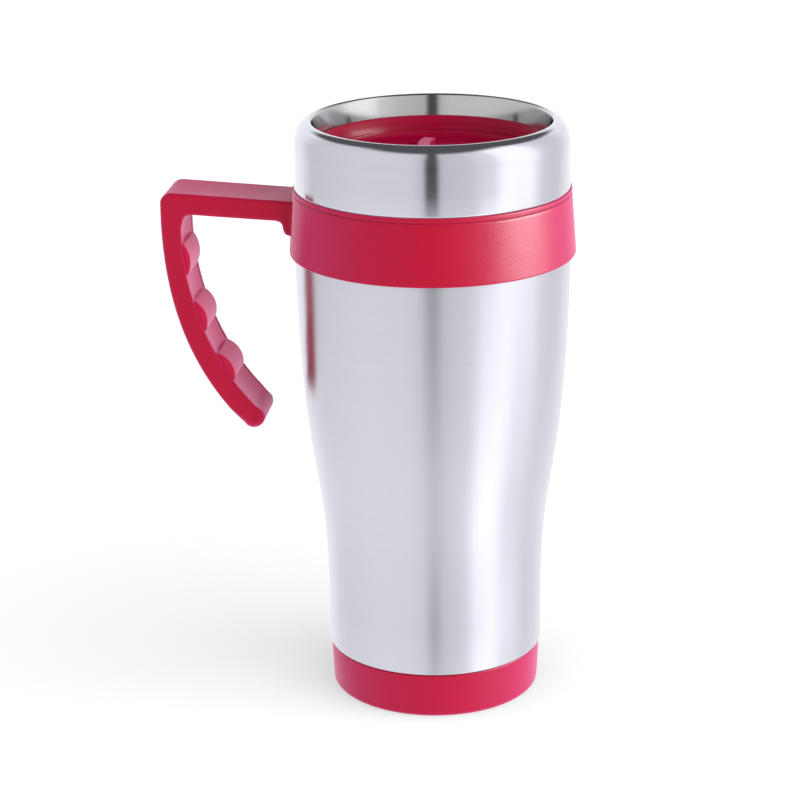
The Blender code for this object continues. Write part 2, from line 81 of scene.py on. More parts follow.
def arc(centre, radii, start_degrees, end_degrees, steps):
    """Points on an ellipse from one angle to another, 0 degrees pointing outwards."""
    points = []
    for step in range(steps + 1):
        angle = radians(start_degrees + (end_degrees - start_degrees) * step / steps)
        points.append((centre[0] + radii[0] * cos(angle), centre[1] + radii[1] * sin(angle)))
    return points


def bezier_point(controls, t):
    """The point of a cubic curve with four control points, at a share t of its run."""
    weights = ((1 - t) ** 3, 3 * (1 - t) ** 2 * t, 3 * (1 - t) * t ** 2, t ** 3)
    return tuple(sum(weight * point[axis] for weight, point in zip(weights, controls)) for axis in (0, 1))


def bezier(controls, steps):
    """Points along a cubic curve."""
    return [bezier_point(controls, step / steps) for step in range(steps + 1)]


def smooth_step(value):
    """Ease from 0 to 1 as a value goes from 0 to 1, and hold the ends."""
    value = max(0.0, min(1.0, value))
    return value * value * (3 - 2 * value)


def rounded(profile, closed=False, steps=5):
    """Turn every (radius, height, rounding) corner of a profile into a short curve."""
    points = []
    count = len(profile)
    for index, corner in enumerate(profile):
        here = Vector(corner[:2])
        rounding = corner[2] if len(corner) > 2 else 0.0
        at_end = not closed and index in (0, count - 1)
        if rounding == 0.0 or at_end:
            points.append(tuple(here))
            continue
        back = Vector(profile[index - 1][:2]) - here
        ahead = Vector(profile[(index + 1) % count][:2]) - here
        start = here + back.normalized() * min(rounding, back.length * 0.48)
        end = here + ahead.normalized() * min(rounding, ahead.length * 0.48)
        for step in range(steps + 1):
            t = step / steps
            points.append(tuple(start * (1 - t) ** 2 + here * 2 * t * (1 - t) + end * t ** 2))
    return points


def sheet_profile(path, thickness):
    """A closed profile for sheet metal: the path, and back along its other side."""
    back = []
    for index, point in enumerate(path):
        before = Vector(path[max(index - 1, 0)])
        after = Vector(path[min(index + 1, len(path) - 1)])
        along = (after - before).normalized()
        side = Vector((along.y, -along.x))
        back.append(tuple(Vector(point) + side * thickness))
    return list(path) + back[::-1]


# ---- Meshes ---------------------------------------------------------------------------------

def finish_mesh(name, mesh, material, sharp_degrees=40):
    """Make an object of a mesh, with outward faces, smooth shading and one material."""
    build = bmesh.new()
    build.from_mesh(mesh)
    bmesh.ops.remove_doubles(build, verts=build.verts, dist=0.0000005)
    bmesh.ops.dissolve_degenerate(build, dist=0.0000004, edges=build.edges)
    bmesh.ops.recalc_face_normals(build, faces=build.faces)
    build.to_mesh(mesh)
    build.free()
    mesh.shade_smooth()
    mesh.set_sharp_from_angle(angle=radians(sharp_degrees))
    mesh.materials.append(material)
    item = bpy.data.objects.new(name, mesh)
    bpy.context.scene.collection.objects.link(item)
    return item


def turned(name, profile, material, closed=True, sharp_degrees=40):
    """Turn a profile round Z. An open profile starts and ends on the axis."""
    vertices = []
    for step in range(STEPS):
        angle = 2 * pi * step / STEPS
        vertices += [(radius * cos(angle), radius * sin(angle), height) for radius, height in profile]
    count = len(profile)
    spans = count if closed else count - 1
    faces = []
    for step in range(STEPS):
        here = step * count
        ahead = (step + 1) % STEPS * count
        for index in range(spans):
            following = (index + 1) % count
            faces.append((here + index, here + following, ahead + following, ahead + index))
    mesh = bpy.data.meshes.new(name)
    mesh.from_pydata(vertices, [], faces)
    return finish_mesh(name, mesh, material, sharp_degrees)


def cap_triangles(ring):
    """Fill a long, thin ring: step along both its sides, always by the shorter way across."""
    points = [Vector(point) for point in ring]
    left = 0
    right = len(points) - 1
    triangles = []
    while right - left > 2:
        by_left = (points[left + 1] - points[right]).length
        by_right = (points[left] - points[right - 1]).length
        if by_left < by_right:
            triangles.append((left, left + 1, right))
            left += 1
        else:
            triangles.append((left, right - 1, right))
            right -= 1
    triangles.append((left, left + 1, right))
    return triangles


def loft(name, rings, material, sharp_degrees=40):
    """Skin a row of closed rings that all have the same number of points, and cap both ends."""
    vertices = [point for ring in rings for point in ring]
    count = len(rings[0])
    last = (len(rings) - 1) * count
    faces = cap_triangles(rings[0])
    faces += [tuple(last + index for index in reversed(triangle)) for triangle in cap_triangles(rings[-1])]
    for row in range(len(rings) - 1):
        for index in range(count):
            following = (index + 1) % count
            here = row * count
            ahead = here + count
            faces.append((here + following, here + index, ahead + index, ahead + following))
    mesh = bpy.data.meshes.new(name)
    mesh.from_pydata(vertices, [], faces)
    return finish_mesh(name, mesh, material, sharp_degrees)


def inward_normals(outline):
    """The direction to the inside at every point of a closed clockwise outline."""
    normals = []
    for index in range(len(outline)):
        along = Vector(outline[(index + 1) % len(outline)][:2]) - Vector(outline[index - 1][:2])
        along.normalize()
        normals.append(Vector((along.y, -along.x)))
    return normals


def slab(name, outline, low, high, edge, material):
    """A flat clockwise outline thickened from low to high, with its two rims rounded."""
    normals = inward_normals(outline)
    turns = [pi / 2 * step / 4 for step in range(5)]
    lower = [(low + edge - edge * cos(turn), edge - edge * sin(turn)) for turn in turns]
    upper = [(high + low - level, inset) for level, inset in reversed(lower)]
    rings = []
    for level, inset in lower + upper:
        ring = [Vector(point) + normal * inset for point, normal in zip(outline, normals)]
        rings.append([(point.x, point.y, level) for point in ring])
    return loft(name, rings, material)


def rounded_rectangle(low, high, corner):
    """A clockwise rectangle between two corners, seen from above, with its corners rounded."""
    steps = 6
    points = []
    centres = ((high[0] - corner, high[1] - corner, 90), (high[0] - corner, low[1] + corner, 0),
               (low[0] + corner, low[1] + corner, -90), (low[0] + corner, high[1] - corner, -180))
    for across, along, start in centres:
        points += arc((across, along), (corner, corner), start, start - 90, steps)
    return points


def join(name, items):
    """Join several closed solids into one piece."""
    build = bmesh.new()
    for item in items:
        build.from_mesh(item.data)
    mesh = items[0].data.copy()
    build.to_mesh(mesh)
    build.free()
    for item in items:
        bpy.data.objects.remove(item, do_unlink=True)
    mesh.name = name
    whole = bpy.data.objects.new(name, mesh)
    bpy.context.scene.collection.objects.link(whole)
    return whole


def cut(item, cutters):
    """Cut the cutters out of a piece, and throw the cutters away."""
    sharp_degrees = 35
    for cutter in cutters:
        step = item.modifiers.new("Cut", "BOOLEAN")
        step.operation = "DIFFERENCE"
        step.solver = "EXACT"
        step.object = cutter
    bpy.context.view_layer.update()
    graph = bpy.context.evaluated_depsgraph_get()
    result = bpy.data.meshes.new_from_object(item.evaluated_get(graph))
    item.modifiers.clear()
    item.data = result
    for cutter in cutters:
        bpy.data.objects.remove(cutter, do_unlink=True)
    result.shade_smooth()
    result.set_sharp_from_angle(angle=radians(sharp_degrees))
    return item


def even_shading(item):
    """Let large faces set the shading, so that flats stay flat beside rounded edges."""
    even = item.modifiers.new("Even shading", "WEIGHTED_NORMAL")
    even.keep_sharp = True
    return item


# ---- Materials ------------------------------------------------------------------------------

class Nodes:
    """A small helper that adds nodes to a material and links them."""

    def __init__(self, tree):
        self.tree = tree

    def add(self, kind, **settings):
        node = self.tree.nodes.new(kind)
        for name, value in settings.items():
            setattr(node, name, value)
        return node

    def join(self, source, target):
        self.tree.links.new(source, target)

    def maths(self, operation, first, second=None, third=None):
        """A maths node whose inputs are numbers or other nodes' outputs."""
        node = self.add("ShaderNodeMath", operation=operation)
        for socket, value in zip(node.inputs, (first, second, third)):
            if isinstance(value, (int, float)):
                socket.default_value = value
            elif value is not None:
                self.join(value, socket)
        return node.outputs[0]

    def noise(self, vector, scale, detail, roughness=0.5):
        node = self.add("ShaderNodeTexNoise")
        node.inputs["Scale"].default_value = scale
        node.inputs["Detail"].default_value = detail
        node.inputs["Roughness"].default_value = roughness
        self.join(vector, node.inputs["Vector"])
        return node.outputs["Fac"]

    def spread(self, value, low, high):
        """Stretch a 0..1 value between two numbers."""
        return self.maths("MULTIPLY_ADD", value, high - low, low)

    def varied(self, middle, first, first_reach, second, second_reach):
        """A number that strays from its middle with two 0..1 values, by up to their reaches."""
        return self.maths("ADD", self.spread(first, -first_reach, first_reach),
                          self.spread(second, middle - second_reach, middle + second_reach))

    def tinted(self, value, low, high):
        """A colour that goes from low to high with a 0..1 value."""
        mix = self.add("ShaderNodeMix", data_type="RGBA")
        self.join(value, mix.inputs[0])
        mix.inputs[6].default_value = (*low, 1.0)
        mix.inputs[7].default_value = (*high, 1.0)
        return mix.outputs[2]


def new_material(name):
    """A material, its node helper, its shader and the object's own coordinates."""
    material = bpy.data.materials.new(name)
    material.use_nodes = True
    nodes = Nodes(material.node_tree)
    shader = material.node_tree.nodes["Principled BSDF"]
    place = nodes.add("ShaderNodeTexCoord").outputs["Object"]
    return material, nodes, shader, place


def add_bump(nodes, shader, height, depth):
    """Raise the surface by up to a depth, in metres."""
    bump = nodes.add("ShaderNodeBump")
    bump.inputs["Strength"].default_value = 1.0
    bump.inputs["Distance"].default_value = depth
    nodes.join(height, bump.inputs["Height"])
    nodes.join(bump.outputs["Normal"], shader.inputs["Normal"])


RINGS_PER_METRE = 5200.0    # brush marks along the height and the radius
MARKS_PER_RADIAN = 2.2      # how often a brush mark fades round the axis
WEAR_SCALE = 60.0


def make_steel(name, colour, roughness, along_spread, streak_depth):
    """Steel brushed or polished round the axis: fine rings in its roughness, tint and bump."""
    material, nodes, shader, place = new_material(name)
    parts = nodes.add("ShaderNodeSeparateXYZ")
    nodes.join(place, parts.inputs[0])
    across, along, height = parts.outputs
    turn = nodes.maths("ARCTAN2", along, across)
    radius = nodes.maths("SQRT", nodes.maths("ADD", nodes.maths("MULTIPLY", across, across),
                                             nodes.maths("MULTIPLY", along, along)))
    streaks = nodes.add("ShaderNodeCombineXYZ")
    nodes.join(nodes.maths("MULTIPLY", turn, MARKS_PER_RADIAN), streaks.inputs[0])
    nodes.join(nodes.maths("MULTIPLY", height, RINGS_PER_METRE), streaks.inputs[1])
    nodes.join(nodes.maths("MULTIPLY", radius, RINGS_PER_METRE), streaks.inputs[2])
    fine = nodes.noise(streaks.outputs[0], 1.0, 3.0, 0.65)
    wide = nodes.noise(streaks.outputs[0], 0.12, 2.0)
    worn = nodes.noise(place, WEAR_SCALE, 3.0)
    both = nodes.maths("ADD", nodes.maths("MULTIPLY", fine, 0.6), nodes.maths("MULTIPLY", wide, 0.4))
    darker = tuple(0.93 * value for value in colour)
    lighter = tuple(min(1.0, 1.05 * value) for value in colour)
    nodes.join(nodes.tinted(both, darker, lighter), shader.inputs["Base Color"])
    nodes.join(nodes.varied(roughness, both, 0.05, worn, 0.02), shader.inputs["Roughness"])
    shader.inputs["Metallic"].default_value = 1.0
    shader.inputs["Anisotropic"].default_value = along_spread
    shader.inputs["Anisotropic Rotation"].default_value = 0.25
    tangent = nodes.add("ShaderNodeTangent", direction_type="RADIAL", axis="Z")
    nodes.join(tangent.outputs[0], shader.inputs["Tangent"])
    add_bump(nodes, shader, fine, streak_depth)
    return material


CLOUD_SCALE = 90.0          # soft clouds in the plastics' tint
PAINTED_SHEEN_BLEND = 0.35          # how far the painted sheen reaches in from the outline
PLASTIC_IOR = 1.45


def make_plastic(name, colour, roughness, grain_size, grain_depth, gloss=0.5, painted_sheen=None):
    """Moulded plastic or rubber with a fine grain. A painted sheen is a pale tint mixed into its colour
    where it is seen at a low angle: a painted highlight that stands in for reflected light.
    """
    material, nodes, shader, place = new_material(name)
    grain = nodes.noise(place, 1.0 / grain_size, 3.0, 0.6)
    clouds = nodes.noise(place, CLOUD_SCALE, 2.0)
    darker = tuple(0.95 * value for value in colour)
    lighter = tuple(min(1.0, 1.05 * value) for value in colour)
    body = nodes.tinted(clouds, darker, lighter)
    # Painted sheen: towards the outline the colour turns to a pale tint, standing in for the light the
    # plastic reflects there.
    if painted_sheen:
        facing = nodes.add("ShaderNodeLayerWeight")
        facing.inputs["Blend"].default_value = PAINTED_SHEEN_BLEND
        mix = nodes.add("ShaderNodeMix", data_type="RGBA")
        nodes.join(facing.outputs["Facing"], mix.inputs[0])
        nodes.join(body, mix.inputs[6])
        mix.inputs[7].default_value = (*painted_sheen, 1.0)
        body = mix.outputs[2]
    nodes.join(body, shader.inputs["Base Color"])
    nodes.join(nodes.varied(roughness, grain, 0.04, clouds, 0.03), shader.inputs["Roughness"])
    shader.inputs["IOR"].default_value = PLASTIC_IOR
    shader.inputs["Specular IOR Level"].default_value = gloss
    add_bump(nodes, shader, grain, grain_depth)
    return material


STEEL_COLOUR = (0.610, 0.615, 0.680)
# Pale tints of painted sheen: painted highlight on the red plastics where they are seen at a low angle, not
# their own colour.
RED_PAINTED_SHEEN = (0.66, 0.038, 0.200)
SOFT_PAINTED_SHEEN = (0.86, 0.17, 0.40)

brushed_steel = make_steel("brushed_steel", STEEL_COLOUR, 0.30, 0.80, 0.000002)
polished_steel = make_steel("polished_steel", STEEL_COLOUR, 0.12, 0.40, 0.0000003)
# Painted shade: the same steel as the collar, darker, standing in for the shade and dim reflections inside
# the mouth.
mouth_painted_shade_steel = make_steel("mouth_painted_shade_steel", (0.510, 0.510, 0.525), 0.12, 0.40, 0.0000003)
liner_steel = make_steel("liner_steel", (0.600, 0.600, 0.650), 0.28, 0.60, 0.000002)
red_plastic = make_plastic("red_plastic", (0.355, 0.002, 0.022), 0.36, 0.00050, 0.000045, 0.18, RED_PAINTED_SHEEN)
# The finger strip's plastic carries a stronger painted sheen, standing in for the light that falls on the
# grip's inner face.
soft_red = make_plastic("soft_red", (0.450, 0.003, 0.036), 0.42, 0.00040, 0.000010, 0.20, SOFT_PAINTED_SHEEN)
lid_red = make_plastic("lid_red", (0.340, 0.001, 0.032), 0.30, 0.00050, 0.000008, 0.12)
milky_silicone = make_plastic("milky_silicone", (0.720, 0.720, 0.690), 0.50, 0.00060, 0.000004)
black_rubber = make_plastic("black_rubber", (0.022, 0.022, 0.024), 0.70, 0.00040, 0.000020)


# ---- Steel body -----------------------------------------------------------------------------

SHELL_RADIUS = SHELL_TOP.x
SHELL_LOW_RADIUS = 0.03288
NECK_RADIUS = 0.0393
NECK_TOP_Z = 0.1560
NECK_START_Z = 0.1410
SHOULDER_Z = 0.1396
# Control points of the body's side, from just below the band to where it runs straight
WAIST = [(0.04125, 0.1375), (0.03958, 0.0618), (SHELL_LOW_RADIUS, 0.0757), (SHELL_LOW_RADIUS, 0.0280)]
COLLAR_RADIUS = COLLAR_TOP.x
COLLAR_FOOT_Z = BAND_TOP_Z + SEAM
CREST_RADIUS = 0.03645      # the highest ring of the lip
OUTER_ROLL_Z = 0.1720       # the collar's wall starts to roll in here
INNER_ROLL = (0.0010, 0.0013)
MOUTH_RADIUS = 0.0342       # the mouth where the lid's flange sits, and below
SEAT_Z = 0.1706
MOUTH_FOOT_RISE = 0.0105    # the mouth's wall ends this far above the collar's foot
LINER_STRAIGHT_Z = 0.118    # the liner narrows below this height, down to the next one
LINER_LOW_Z = 0.060
LINER_LOW_RADIUS = 0.0286
LINER_CORNER = 0.008
LINER_FLOOR_BELOW_Z = 0.04  # the liner's points below this height belong to its floor
CAP_FOOT_RADIUS = 0.0319
CAP_EDGE = 0.0016
PLUG_RADIUS = 0.0319
PLUG_WALL = 0.0020
CAP_FLOOR_Z = 0.0040
CAP_SEAM_Z = 0.0143         # the shell's foot stands on the cap here
PAD_GROOVES = (0.0235, 0.0195, 0.0155, 0.0115)
PAD_GROOVE_DEPTH = 0.0005


def make_outer_shell():
    """The waisted body, from the top of the neck down to the foot."""
    path = rounded([(NECK_RADIUS, NECK_TOP_Z), (NECK_RADIUS, NECK_START_Z, 0.0006),
                    (SHELL_RADIUS, SHOULDER_Z, 0.0006), WAIST[0]])
    path += bezier(WAIST, 90)[1:]
    edge = 0.0004
    path.append((SHELL_LOW_RADIUS, SHELL_FOOT.z + edge))
    path += arc((SHELL_LOW_RADIUS - edge, SHELL_FOOT.z + edge), (edge, edge), 0, -70, 5)[1:]
    item = turned("steel_body", sheet_profile(path, SHEET), brushed_steel)
    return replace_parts(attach(item, "mug"), "outer_shell")


def make_collar():
    """The collar, from the foot of the mouth's wall over the lip and down to its tail in the neck."""
    inner_roll = arc((CREST_RADIUS, COLLAR_TOP.z - INNER_ROLL[1]), INNER_ROLL, 165, 90, 14)
    mouth = [(MOUTH_RADIUS, COLLAR_FOOT.z + MOUTH_FOOT_RISE), (MOUTH_RADIUS, SEAT_Z, 0.0006), inner_roll[0]]
    path = rounded(mouth)[:-1] + inner_roll
    outer_roll = (COLLAR_RADIUS - 0.0001 - CREST_RADIUS, COLLAR_TOP.z - OUTER_ROLL_Z)
    path += arc((CREST_RADIUS, OUTER_ROLL_Z), outer_roll, 90, 0, 30)[1:]
    edge = 0.0005
    path += arc((COLLAR_RADIUS - edge, COLLAR_FOOT_Z + edge), (edge, edge), 0, -90, 6)
    tail = NECK_RADIUS - SHEET - 0.0004
    path += rounded([(COLLAR_RADIUS - edge, COLLAR_FOOT_Z), (tail, COLLAR_FOOT_Z, 0.0004),
                     (tail, COLLAR_FOOT.z)])[1:]
    item = turned("rim", sheet_profile(path, SHEET), polished_steel)
    item.data.materials.append(mouth_painted_shade_steel)
    # Painted shade: the faces inside the lip take the darker steel.
    for face in item.data.polygons:
        if face.center.xy.length < CREST_RADIUS - 0.0003:
            face.material_index = 1
    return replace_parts(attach(item, "mug"), "rim_collar")


def make_liner():
    """The cup that holds the drink: its outer side down to the floor, and back up the inside."""
    upper = LINER_TOP.x
    lower = LINER_LOW_RADIUS
    corner = LINER_CORNER
    path = rounded([(upper, LINER_TOP.z), (upper, LINER_STRAIGHT_Z, 0.012), (lower, LINER_LOW_Z, 0.012),
                    (lower, LINER_FOOT.z + corner)])
    path += arc((lower - corner, LINER_FOOT.z + corner), (corner, corner), 0, -90, 14)[1:]
    path.append((0.0, LINER_FOOT.z))
    back = []
    for radius, height in reversed(path):
        inside = radius - SHEET if radius > SHEET else 0.0
        back.append((inside, height + SHEET if height < LINER_FLOOR_BELOW_Z else height))
    item = turned("liner_cup", path + back, liner_steel, closed=False)
    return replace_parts(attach(item, "mug"), "inner_liner")


def make_base_cap():
    """The foot: a plug inside the shell, the cap's wall below it and a recess for the pad."""
    plug_inside = PLUG_RADIUS - PLUG_WALL
    recess = PAD_TOP.x + 0.0003
    recess_z = PAD_TOP.z + 0.0003
    edge = CAP_EDGE
    points = rounded([(0.0, CAP_FLOOR_Z), (plug_inside, CAP_FLOOR_Z, 0.0010),
                      (plug_inside, CAP_TOP.z, 0.0004), (PLUG_RADIUS, CAP_TOP.z, 0.0006),
                      (PLUG_RADIUS, CAP_SEAM_Z), (CAP_TOP.x, CAP_SEAM_Z, 0.0005),
                      (CAP_FOOT_RADIUS, CAP_FOOT.z + edge)])
    points += arc((CAP_FOOT_RADIUS - edge, CAP_FOOT.z + edge), (edge, edge), 0, -90, 10)[1:]
    points += rounded([(CAP_FOOT_RADIUS - edge, CAP_FOOT.z), (recess, CAP_FOOT.z, 0.0004),
                       (recess, recess_z, 0.0003), (0.0, recess_z)])[1:]
    item = turned("foot_cap", points, red_plastic, closed=False)
    item.visible_diffuse = False        # keeps its red out of the light that the floor bounces
    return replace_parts(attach(item, "mug"), "base_cap")


def make_pad():
    """The pad, with ring-shaped grooves in its underside."""
    edge = 0.0003
    radius = PAD_TOP.x
    profile = [(0.0, PAD_TOP.z), (radius, PAD_TOP.z, edge), (radius, 0.0, edge)]
    for groove in PAD_GROOVES:
        profile += [(groove + 0.0008, 0.0, 0.0002), (groove + 0.0005, PAD_GROOVE_DEPTH, 0.0002),
                    (groove - 0.0005, PAD_GROOVE_DEPTH, 0.0002), (groove - 0.0008, 0.0, 0.0002)]
    profile.append((0.0, 0.0))
    item = turned("foot_pad", rounded(profile, steps=3), black_rubber, closed=False)
    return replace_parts(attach(item, "mug"), "non_slip_pad")


# ---- Handle ---------------------------------------------------------------------------------

BAND_FOOT_Z = 0.1390
BAND_FOOT_RADIUS = 0.04285
BAND_WAIST_RADIUS = 0.04125
BAND_WAIST_Z = 0.1556
BEAD_RADIUS = 0.04150                       # the bead round the band's upper edge
BEAD_GROOVE = (0.1574, 0.1577)              # the groove below it, from foot to top
BEAD_GROOVE_RADIUS = 0.04095
HALF_WIDTH = 0.0100                         # half the width of the arm and the grip
HANDLE_EDGE = 0.0011                        # rounding along the handle's side edges
TIP_EDGE = 0.0022                           # rounding of the tip's side edges
DISH = 0.0010                               # how far the grip's inner face is hollowed
TOP_DISH = 0.00025                          # how far the arm's top face is hollowed
TOP_DISH_START = 0.0440                     # distance from the axis where that hollow starts
TOP_DISH_BLEND = 0.0060
OUTER_TIP_START = 0.90                      # shares of the grip's two curves where the tip starts
INNER_TIP_START = 0.93
CHANNEL_HALF = 0.00804                      # half the width of the channel for the finger strip
CHANNEL_DEPTH = 0.0018
ROOT_FILLET = 0.0010                        # flare where the arm's sides meet the band
ROOT_RADIUS = 0.0405                        # the arm's root ends here, inside the band
OUTLINE_SPACING = 0.0003                    # longest step along the outline's straight parts
# The outline, as (distance from the axis, height). The grip's two sides are cubic curves.
ARM_TOP = [(0.0385, 0.1551), (0.0766, 0.1573)]
CORNER_CENTRE = (0.0772, 0.1539)
CORNER_RADIUS = 0.0034
GRIP_OUTER = [(0.0806, 0.1481), (0.0801, 0.1288), (0.0764, 0.1050), (0.0566, 0.0850)]
GRIP_INNER = [(0.0743, 0.1469), (0.0747, 0.1259), (0.0665, 0.1037), (0.0515, 0.0895)]
TIP_CENTRE = (0.0544, 0.0876)
TIP_RADIUS = 0.0035
INNER_CORNER = [(0.0739, 0.1490, 0.0012), (0.0730, 0.1503, 0.0010), (0.0714, 0.1507, 0.0012)]
UNDERSIDE_START = (0.0650, 0.1503)
UNDERSIDE_ROOT = (0.0457, 0.1493)
ROOT_FOOT = [(0.0445, 0.1489), (0.0439, 0.1480), (0.0437, 0.1464), (0.0432, 0.1453), (0.0422, 0.1448),
             (0.0385, 0.1447)]
RIDGES = ((0.0104, 0.0015), (0.0284, 0.0019), (0.0459, 0.0019))   # (place along the grip, height)
RIDGE_CHORD = 0.0096
INSERT_HALF = 0.0080                        # half the width of the finger strip
INSERT_DEPTH = 0.0016
INSERT_SPAN = (0.012, 0.95)                 # the share of the grip's inner curve that it covers
TIP_START_Z = 0.0960                        # the bare inner face of the tip lies below this


def divided(points, spacing):
    """The same line with points no further apart than a spacing."""
    line = [points[0]]
    for start, end in zip(points, points[1:]):
        start, end = Vector(start), Vector(end)
        pieces = max(1, int((end - start).length / spacing + 0.999))
        line += [tuple(start.lerp(end, piece / pieces)) for piece in range(1, pieces + 1)]
    return line


def inner_fade(t):
    """How strongly the grip's inner face is hollowed at a share of its curve: less at both ends."""
    return smooth_step((1.0 - t) / 0.05) * smooth_step(t / 0.03 + 0.5)


def handle_outline():
    """The handle's side view as (distance, height, inner face weight, channel, tip weight, top weight)."""
    outline = [(*point, 0.0, 0.0, 0.0, smooth_step((point[0] - TOP_DISH_START) / TOP_DISH_BLEND))
               for point in divided(ARM_TOP, OUTLINE_SPACING)]
    corner = arc(CORNER_CENTRE, (CORNER_RADIUS, CORNER_RADIUS), 88, 0, 24)
    outline += [(*point, 0.0, 0.0, 0.0, 1.0 - smooth_step(index / 14)) for index, point in enumerate(corner)]
    steps = 140
    for step in range(1, steps + 1):
        tip = smooth_step((step / steps - OUTER_TIP_START) / (1 - OUTER_TIP_START))
        outline.append((*bezier_point(GRIP_OUTER, step / steps), 0.0, 0.0, tip, 0.0))
    tip_arc = arc(TIP_CENTRE, (TIP_RADIUS, TIP_RADIUS), -55, -205, 30)
    outline += [(*point, 0.0, 0.0, 1.0, 0.0) for point in tip_arc]
    beyond = 0.0005
    stops = [step / steps for step in range(steps)] + [INSERT_SPAN[0] - beyond, INSERT_SPAN[1] + beyond]
    for t in sorted(stops + [INSERT_SPAN[0]], reverse=True):
        channel = 1.0 if INSERT_SPAN[0] <= t <= INSERT_SPAN[1] else 0.0
        tip = smooth_step((t - INNER_TIP_START) / (1 - INNER_TIP_START))
        outline.append((*bezier_point(GRIP_INNER, t), inner_fade(t), channel, tip, 0.0))
    inner_bend = rounded([GRIP_INNER[0], *INNER_CORNER, UNDERSIDE_START], steps=6)[1:]
    underside = divided([inner_bend[-1], UNDERSIDE_ROOT], OUTLINE_SPACING)[1:]
    foot = rounded([UNDERSIDE_ROOT] + [(*point, 0.0008) for point in ROOT_FOOT], steps=4)[1:]
    plain = inner_bend + underside + divided(foot, OUTLINE_SPACING)
    return outline + [(*point, 0.0, 0.0, 0.0, 0.0) for point in plain]


def band_radius(height):
    """Where the arm's flare is measured from at a height: at or just under the band's surface."""
    share = max(0.0, min(1.0, (height - BAND_FOOT_Z) / (BAND_WAIST_Z - BAND_FOOT_Z)))
    return BAND_FOOT_RADIUS + (BAND_WAIST_RADIUS - BAND_FOOT_RADIUS) * share


def to_root(distance, across, height):
    """Fit a point of the arm to the round band: flare its sides, and keep its root out of the neck."""
    beyond = sqrt(distance ** 2 + across ** 2) - band_radius(height)
    if beyond < ROOT_FILLET:
        depth = ROOT_FILLET - max(beyond, 0.0)
        flare = ROOT_FILLET - sqrt(max(ROOT_FILLET ** 2 - depth ** 2, 0.0))
        side = smooth_step((abs(across) - 0.6 * HALF_WIDTH) / (0.4 * HALF_WIDTH))
        across += flare * side * (1 if across > 0 else -1)
    shortest = sqrt(max(ROOT_RADIUS ** 2 - across ** 2, 0.0))
    return (-max(distance, shortest), across, height)


def make_arm():
    """The arm and grip: the outline repeated across the width, from one side to the other."""
    outline = handle_outline()
    normals = inward_normals(outline)
    edges = [HANDLE_EDGE + (TIP_EDGE - HANDLE_EDGE) * point[4] for point in outline]
    edge_steps = 8
    levels = [("edge", 90 * step / edge_steps) for step in range(edge_steps)]
    straight = HALF_WIDTH - HANDLE_EDGE
    middle_steps = 12
    middles = [straight * step / middle_steps for step in range(middle_steps, -1, -1)]
    middles = [across for across in middles if across < CHANNEL_HALF]
    beside_channel = [straight, (straight + CHANNEL_HALF) / 2, CHANNEL_HALF + 0.00002, CHANNEL_HALF]
    levels += [("middle", across) for across in beside_channel + middles]
    half_rings = []
    for kind, value in levels:
        ring = []
        for point, normal, edge in zip(outline, normals, edges):
            if kind == "edge":
                across = HALF_WIDTH - edge + edge * cos(radians(value))
                inset = edge - edge * sin(radians(value))
            else:
                across = min(value, HALF_WIDTH - edge)
                inset = 0.0
            hollow = 1 - min(1.0, (across / HALF_WIDTH) ** 2)
            inset += DISH * hollow * point[2] + TOP_DISH * hollow * point[5]
            if kind == "middle" and value <= CHANNEL_HALF:
                inset += CHANNEL_DEPTH * point[3]
            moved = Vector(point[:2]) + normal * inset
            ring.append((moved.x, across, moved.y))
        half_rings.append(ring)
    rings = [[to_root(x, y, z) for x, y, z in ring] for ring in half_rings]
    mirrored = [[to_root(x, -y, z) for x, y, z in ring] for ring in half_rings[-2::-1]]
    return loft("arm", rings + mirrored, red_plastic, sharp_degrees=50)


def make_band_ring():
    """The band: a flared ring that fits over the neck and down over the shoulder."""
    bore = NECK_RADIUS + 0.0003
    inside = SHELL_RADIUS + 0.0002
    profile = [(bore, NECK_START_Z + 0.0003, 0.0003), (inside, SHOULDER_Z + 0.0003, 0.0003),
               (inside, BAND_FOOT_Z, 0.0003), (BAND_FOOT_RADIUS, BAND_FOOT_Z, 0.0005),
               (BEAD_RADIUS, BEAD_GROOVE[0] - 0.0001, 0.0009), (BEAD_GROOVE_RADIUS, BEAD_GROOVE[0], 0.0001),
               (BEAD_GROOVE_RADIUS, BEAD_GROOVE[1], 0.0001), (BEAD_RADIUS, BEAD_GROOVE[1], 0.0002),
               (BEAD_RADIUS, BAND_TOP_Z, 0.0004), (bore, BAND_TOP_Z, 0.0003)]
    return turned("ring", rounded(profile, closed=True), red_plastic, sharp_degrees=50)


def make_handle():
    """Band, arm and grip in one moulding. The tip's inner face takes the finger strip's material, whose
    stronger painted sheen stands in for the light on it.
    """
    item = join("handle", [make_band_ring(), make_arm()])
    item.visible_glossy = False         # the collar doesn't mirror the arm
    item.data.materials.append(soft_red)
    # Painted light: the tip's inner face gets the finger strip's stronger painted sheen, so that it is as
    # bright as the strip beside it.
    for face in item.data.polygons:
        faces_in = face.normal.x > 0.2 and face.normal.z > 0.15
        if faces_in and abs(face.center.y) < INSERT_HALF + 0.001 and face.center.z < TIP_START_Z:
            face.material_index = 1
    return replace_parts(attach(even_shading(item), "mug"), "handle_band")


def ridge_height(travelled):
    """The height of the ridges at a distance along the grip. Each is part of a circle."""
    for centre, height in RIDGES:
        radius = (RIDGE_CHORD ** 2 / 4 + height ** 2) / (2 * height)
        offset = abs(travelled - centre)
        if offset < RIDGE_CHORD / 2:
            return sqrt(radius ** 2 - offset ** 2) - radius + height
    return 0.0


